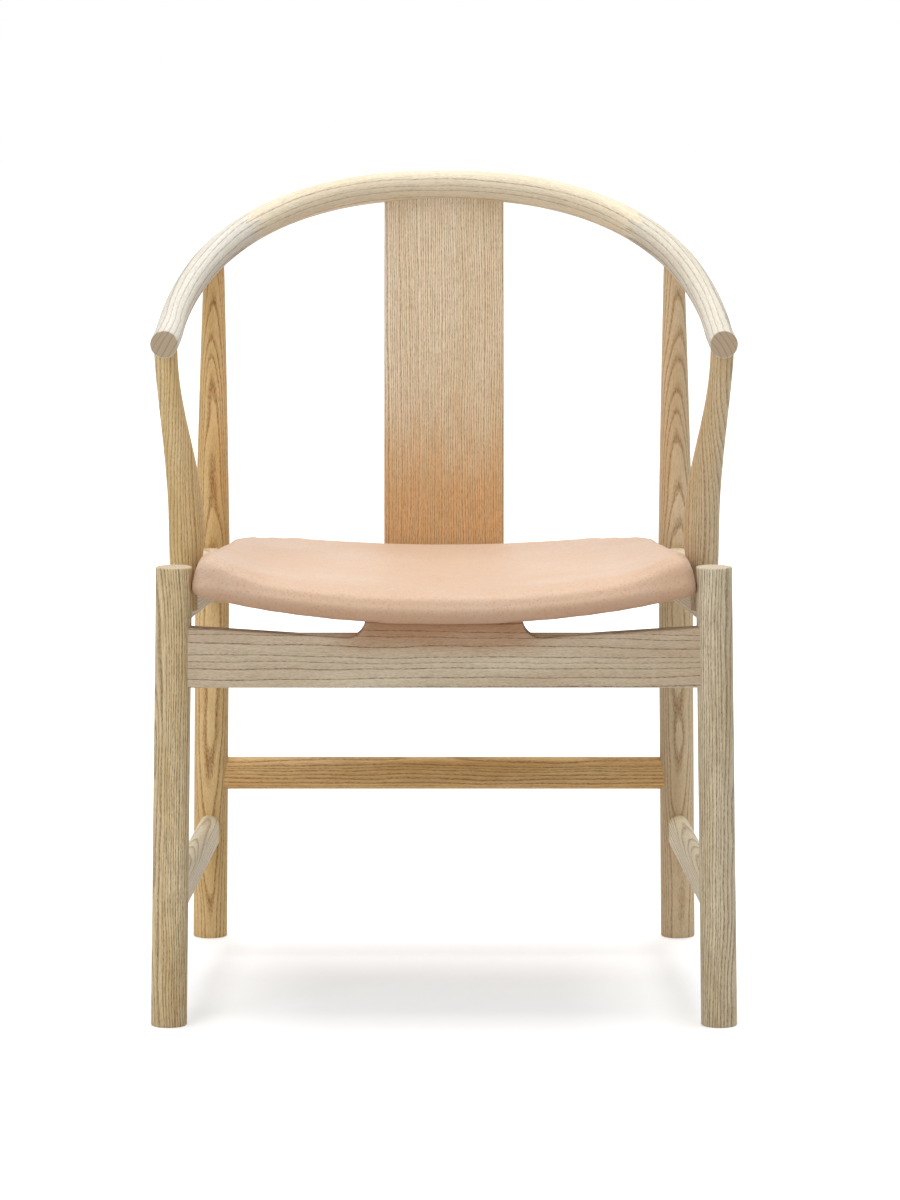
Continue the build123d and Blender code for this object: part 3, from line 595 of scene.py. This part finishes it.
def distances(piece, name, most):
    """Each vertex's distance to a CAD node, up to a most."""
    surface = surface_of(name)
    nearest = (surface.find_nearest(vertex.co, most)[3] for vertex in piece.data.vertices)
    return [most if gap is None else gap for gap in nearest]


def weigh(piece, weights):
    """Give a piece a vertex group with a weight for each vertex."""
    group = piece.vertex_groups.new(name="weights")
    for index, weight in enumerate(weights):
        group.add([index], weight, "REPLACE")
    return group.name


def fill_out(piece, seat):
    """Lean the foam out over its front edge and corners, and lift it at the sides.

    Both are most at the front. Hide that lies on the shell stays, and the foam leans out
    most at half its thickness, so that the edge becomes a round lip.
    """
    low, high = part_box("seat_leather")
    half_width = {}
    for vertex in piece.data.vertices:
        cut = round(vertex.co.y / SLICE)
        half_width[cut] = max(half_width.get(cut, 0.0), abs(vertex.co.x))
    off_shell = distances(piece, "seat_shell", FREE_FOAM)
    for vertex, gap in zip(piece.data.vertices, off_shell):
        free = gap / FREE_FOAM
        out = seat.lip * math.sin(math.pi * min(free, LEAN_TOP))
        inward = half_width[round(vertex.co.y / SLICE)] - abs(vertex.co.x)
        back = vertex.co.y - low.y
        forward = 1.0 - back / (high.y - low.y)
        vertex.co.x += math.copysign(out * ease(inward, *LEANS_AT) * forward**2, vertex.co.x)
        vertex.co.y -= out * ease(back, *LEANS_AT)
        vertex.co.z += seat.lift * ease(inward, *LIFTS_AT) * forward * free


def soften(piece, rounds):
    """Smooth the foam's edges, most along the front; hide that lies on the shell stays."""
    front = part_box("seat_leather")[0].y
    off_shell = distances(piece, "seat_shell", SOFTENS_OFF_SHELL[1])
    smooth = piece.modifiers.new("Soft edges", "SMOOTH")
    smooth.factor = 0.5
    smooth.iterations = rounds
    behind = (ease(vertex.co.y - front, *HARDER_BEHIND) for vertex in piece.data.vertices)
    smooth.vertex_group = weigh(piece, (
        ease(gap, *SOFTENS_OFF_SHELL) * (1.0 - HARDER_BY * hard)
        for gap, hard in zip(off_shell, behind)))
    apply_modifier(piece, smooth)
    piece.vertex_groups.clear()


def swell(piece, cap):
    """Let foam press the leather outwards: a short cloth simulation, capped and applied.

    The hide is held where it lies on the shell.
    """
    scene = bpy.context.scene
    rest = [vertex.co.copy() for vertex in piece.data.vertices]
    off_shell = distances(piece, "seat_shell", LETS_GO_OFF_SHELL[1])
    cloth = piece.modifiers.new("Foam pressure", "CLOTH")
    cloth.settings.effector_weights.gravity = 0.0
    cloth.settings.use_pressure = True
    cloth.settings.uniform_pressure_force = PRESSURE
    cloth.settings.vertex_group_mass = weigh(piece, (
        1.0 - ease(gap, *LETS_GO_OFF_SHELL) for gap in off_shell))
    cloth.point_cache.frame_start = 1
    cloth.point_cache.frame_end = STEPS
    for step in range(1, STEPS + 1):
        scene.frame_set(step)
    apply_modifier(piece, cloth)
    scene.frame_set(1)
    for vertex, start in zip(piece.data.vertices, rest):
        move = vertex.co - start
        if move.length > cap:
            vertex.co = start + move.normalized() * cap
    piece.vertex_groups.clear()


def thicken_hem(piece, extra):
    """Thicken the hide where it wraps the shell's edge, and mark where it faces down, for the
    painted shade on the leather.
    """
    vertices = piece.data.vertices
    hem = piece.data.attributes.new("hem", "FLOAT", "POINT")
    hem.data.foreach_set("value", [ease(vertex.normal.z, *HEM_FACES) for vertex in vertices])
    outward = [vertex.normal.copy() for vertex in vertices]
    off_shell = distances(piece, "seat_shell", WRAPS_NEAR_SHELL[0])
    off_cloth = distances(piece, "seat_base_cloth", WRAPS_OFF_CLOTH[1])
    for vertex, normal, gap, cloth in zip(vertices, outward, off_shell, off_cloth):
        wrapped = ease(gap, *WRAPS_NEAR_SHELL) * ease(cloth, *WRAPS_OFF_CLOTH)
        vertex.co += normal * extra * wrapped


def keep_clear(piece, rest):
    """Hold back each vertex that has moved from its rest place too near to a neighbour."""
    for name in SEAT_NEIGHBOURS:
        surface = surface_of(name)
        for vertex, start in zip(piece.data.vertices, rest):
            place, _, _, gap = surface.find_nearest(start, NEARBY)
            if place is not None:
                toward = (place - start).normalized()
                excess = (vertex.co - start).dot(toward) - (gap - CLEARANCE)
                vertex.co -= toward * max(excess, 0.0)


class ARMCHAIR_OT_upholster_seat(bpy.types.Operator):
    """Pad the seat and cover it in natural leather, turned under at its edges"""

    bl_idname = "armchair.upholster_seat"
    bl_label = "Upholster Seat"

    def execute(self, context):
        seat = context.scene.armchair_seat
        pad = joined("seat_pad", SEAT_PIECES)
        remesh = pad.modifiers.new("Even quads", "REMESH")
        remesh.mode = "VOXEL"
        remesh.voxel_size = QUAD
        apply_modifier(pad, remesh)
        rest = [vertex.co.copy() for vertex in pad.data.vertices]
        fill_out(pad, seat)
        soften(pad, seat.softness)
        swell(pad, seat.crown)
        soften(pad, SETTLING)
        thicken_hem(pad, HEM_THICKNESS)
        keep_clear(pad, rest)
        finer = pad.modifiers.new("Finer", "SUBSURF")
        finer.levels = finer.render_levels = 1
        apply_modifier(pad, finer)
        pad.data.shade_smooth()
        cover_with(pad, natural_leather(seat))
        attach(pad, "root")
        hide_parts("seat_leather", "seat_foam")
        return {"FINISHED"}


# ------------------------------------------------------------------ hidden materials
def birch_plywood():
    """Moulded birch plywood: its 1.5 mm plies are pale and darker by turns."""
    material, tree = start_material("birch_plywood")
    place = add_node(tree, "ShaderNodeTexCoord").outputs["Object"]
    # A wave repeats every pi / 10 at a scale of 1, and here every two plies.
    plies = add_node(tree, "ShaderNodeTexWave", {
        "Vector": place, "Scale": math.pi / 10 / (3.0 * MM), "Distortion": 0.4},
        bands_direction="Z")
    colour = add_node(tree, "ShaderNodeMix", {
        "Factor": plies, "A": linear("#C9A77B"), "B": linear("#9A7549")}, data_type="RGBA")
    end_material(tree, {"Base Color": colour, "Roughness": 0.6})
    return material


def dust_cloth():
    """Black non-woven cloth: matt fibres, felted in every direction into 1 mm clumps."""
    material, tree = start_material("dust_cloth")
    place = add_node(tree, "ShaderNodeTexCoord").outputs["Object"]
    felt = add_node(tree, "ShaderNodeTexNoise", {
        "Vector": place, "Scale": 1 / (1.11 * MM), "Detail": 4.0, "Roughness": 0.7})
    colour = add_node(tree, "ShaderNodeMix", {
        "Factor": felt, "A": linear("#141414"), "B": linear("#33312F")}, data_type="RGBA")
    bump = add_node(tree, "ShaderNodeBump", {"Height": felt, "Distance": 0.1 * MM})
    end_material(tree, {
        "Base Color": colour, "Normal": bump, "Roughness": 0.95,
        "Sheen Weight": 0.3, "Sheen Roughness": 0.6})
    return material


def zinc_plate():
    """Bright zinc-plated steel: grey metal, clouded every 3 mm by a faint yellow bloom."""
    material, tree = start_material("zinc_plate")
    place = add_node(tree, "ShaderNodeTexCoord").outputs["Object"]
    cloud = add_node(tree, "ShaderNodeTexNoise", {
        "Vector": place, "Scale": 1 / (2.86 * MM), "Detail": 3.0})
    colour = add_node(tree, "ShaderNodeMix", {
        "Factor": cloud, "A": linear("#C4C6C8"), "B": linear("#A9A690")}, data_type="RGBA")
    rough = add_node(tree, "ShaderNodeMapRange", {"Value": cloud, "To Min": 0.25, "To Max": 0.45})
    end_material(tree, {"Base Color": colour, "Roughness": rough, "Metallic": 1.0})
    return material


HIDDEN_MATERIALS = {
    "moulded_plywood": birch_plywood,
    "base_cloth": dust_cloth,
    "zinc_plated_steel": zinc_plate,
}


class ARMCHAIR_OT_finish_underside(bpy.types.Operator):
    """Finish the seat's shell, its base cloth and the screws"""

    bl_idname = "armchair.finish_underside"
    bl_label = "Finish Underside"

    def execute(self, context):
        for slot, make in HIDDEN_MATERIALS.items():
            material = make()
            for piece in nodes_of(slot):
                cover_with(piece, material)
        return {"FINISHED"}


# ------------------------------------------------------------------ stage
def seen_or_mirrored(tree):
    """1 for a ray from the camera or from a glossy surface, and 0 for one of light."""
    rays = add_node(tree, "ShaderNodeLightPath")
    return add_node(tree, "ShaderNodeMath", {
        0: rays.outputs["Is Camera Ray"], 1: rays.outputs["Is Glossy Ray"]}, operation="MAXIMUM")


def studio_white():
    """Matt white studio paper, lit to white for the camera, which keeps the chair's shadow."""
    material, tree = start_material("studio_white")
    # The lamps fade away from the chair, so the paper is lifted more further out.
    away = add_node(tree, "ShaderNodeVectorMath", {
        0: add_node(tree, "ShaderNodeTexCoord").outputs["Object"]}, operation="LENGTH")
    needed = add_node(tree, "ShaderNodeMapRange", {
        "Value": away, "From Min": 0.5, "From Max": 2.6, "To Min": 0.42, "To Max": 0.95})
    lift = add_node(tree, "ShaderNodeMath", {
        0: seen_or_mirrored(tree), 1: needed}, operation="MULTIPLY")
    end_material(tree, {
        "Base Color": (0.9, 0.9, 0.9, 1.0), "Roughness": 1.0, "Specular IOR Level": 0.0,
        "Emission Color": (1.0, 1.0, 1.0, 1.0), "Emission Strength": lift})
    return material


def white_surround(scene, ambient):
    """A white world: it shows as plain white and lights at the ambient strength."""
    scene.world = bpy.data.worlds.new("studio_surround")
    scene.world.use_nodes = True
    tree = scene.world.node_tree
    tree.nodes.clear()
    strength = add_node(tree, "ShaderNodeMapRange", {
        "Value": seen_or_mirrored(tree), "To Min": ambient, "To Max": 1.0})
    light = add_node(tree, "ShaderNodeBackground", {
        "Color": (1.0, 1.0, 1.0, 1.0), "Strength": strength})
    add_node(tree, "ShaderNodeOutputWorld", {"Surface": light})


def studio_floor(size):
    """A wide square of studio paper under the chair."""
    paper = bmesh.new()
    bmesh.ops.create_grid(paper, x_segments=1, y_segments=1, size=size / 2)
    mesh = bpy.data.meshes.new("studio_floor")
    paper.to_mesh(mesh)
    paper.free()
    floor = bpy.data.objects.new("studio_floor", mesh)
    bpy.context.scene.collection.objects.link(floor)
    cover_with(floor, studio_white())


def soft_lamp(name, power, size, place, target):
    """A square softbox that faces a target."""
    lamp = bpy.data.lights.new(name, "AREA")
    lamp.energy = power
    lamp.size = size
    holder = bpy.data.objects.new(name, lamp)
    holder.location = place
    holder.rotation_euler = (Vector(target) - Vector(place)).to_track_quat("-Z", "Y").to_euler()
    bpy.context.scene.collection.objects.link(holder)


def front_camera(stage):
    """The camera in front of the chair, which looks down on it a little."""
    camera = bpy.data.cameras.new("camera")
    camera.sensor_fit = "AUTO"
    camera.sensor_width = 36.0
    camera.lens = 173.2
    camera.shift_x = 0.005
    camera.clip_end = 60.0
    holder = bpy.data.objects.new("camera", camera)
    holder.location = (0.0, -stage.camera_distance, stage.camera_height)
    holder.rotation_euler = (math.radians(90) - stage.camera_tilt, 0.0, 0.0)
    bpy.context.scene.collection.objects.link(holder)
    return holder


class ARMCHAIR_OT_set_stage(bpy.types.Operator):
    """Lay the white floor, place the soft lamps and set up the camera"""

    bl_idname = "armchair.set_stage"
    bl_label = "Set Stage"

    def execute(self, context):
        scene = context.scene
        stage = scene.armchair_stage
        studio_floor(size=30.0)
        white_surround(scene, stage.ambient)
        soft_lamp("overhead_lamp", stage.overhead_power, size=2.4,
                  place=(0.0, 0.3, 3.0), target=(0.0, 0.0, 0.5))
        soft_lamp("front_lamp", stage.front_power, size=2.0,
                  place=(-1.8, -3.2, 2.0), target=(0.0, 0.0, 0.45))
        scene.camera = front_camera(stage)
        scene.view_settings.view_transform = "Standard"
        return {"FINISHED"}


# ------------------------------------------------------------------ add-on
PANEL_STEPS = {
    "armchair_wood": (ARMCHAIR_OT_finish_frame,),
    "armchair_seat": (ARMCHAIR_OT_upholster_seat, ARMCHAIR_OT_finish_underside),
    "armchair_stage": (ARMCHAIR_OT_set_stage,),
}


class ARMCHAIR_PT_panel(bpy.types.Panel):
    """The armchair's settings and steps"""

    bl_label = "Armchair"
    bl_idname = "ARMCHAIR_PT_panel"
    bl_space_type = "VIEW_3D"
    bl_region_type = "UI"
    bl_category = "Armchair"

    def draw(self, context):
        for group, steps in PANEL_STEPS.items():
            box = self.layout.box()
            settings = getattr(context.scene, group)
            for name in type(settings).__annotations__:
                box.prop(settings, name)
            for step in steps:
                box.operator(step.bl_idname)


SETTINGS = {
    "armchair_wood": ArmchairWoodSettings,
    "armchair_seat": ArmchairSeatSettings,
    "armchair_stage": ArmchairStageSettings,
}
CLASSES = (
    ArmchairWoodSettings,
    ArmchairSeatSettings,
    ArmchairStageSettings,
    ARMCHAIR_OT_finish_frame,
    ARMCHAIR_OT_upholster_seat,
    ARMCHAIR_OT_finish_underside,
    ARMCHAIR_OT_set_stage,
    ARMCHAIR_PT_panel,
)


def register():
    for cls in CLASSES:
        bpy.utils.register_class(cls)
    for name, group in SETTINGS.items():
        setattr(bpy.types.Scene, name, bpy.props.PointerProperty(type=group))


def unregister():
    for name in SETTINGS:
        delattr(bpy.types.Scene, name)
    for cls in reversed(CLASSES):
        bpy.utils.unregister_class(cls)


def main():
    """Run every step in order."""
    register()
    bpy.ops.armchair.finish_frame()
    bpy.ops.armchair.upholster_seat()
    bpy.ops.armchair.finish_underside()
    bpy.ops.armchair.set_stage()


if __name__ == "__main__":
    main()
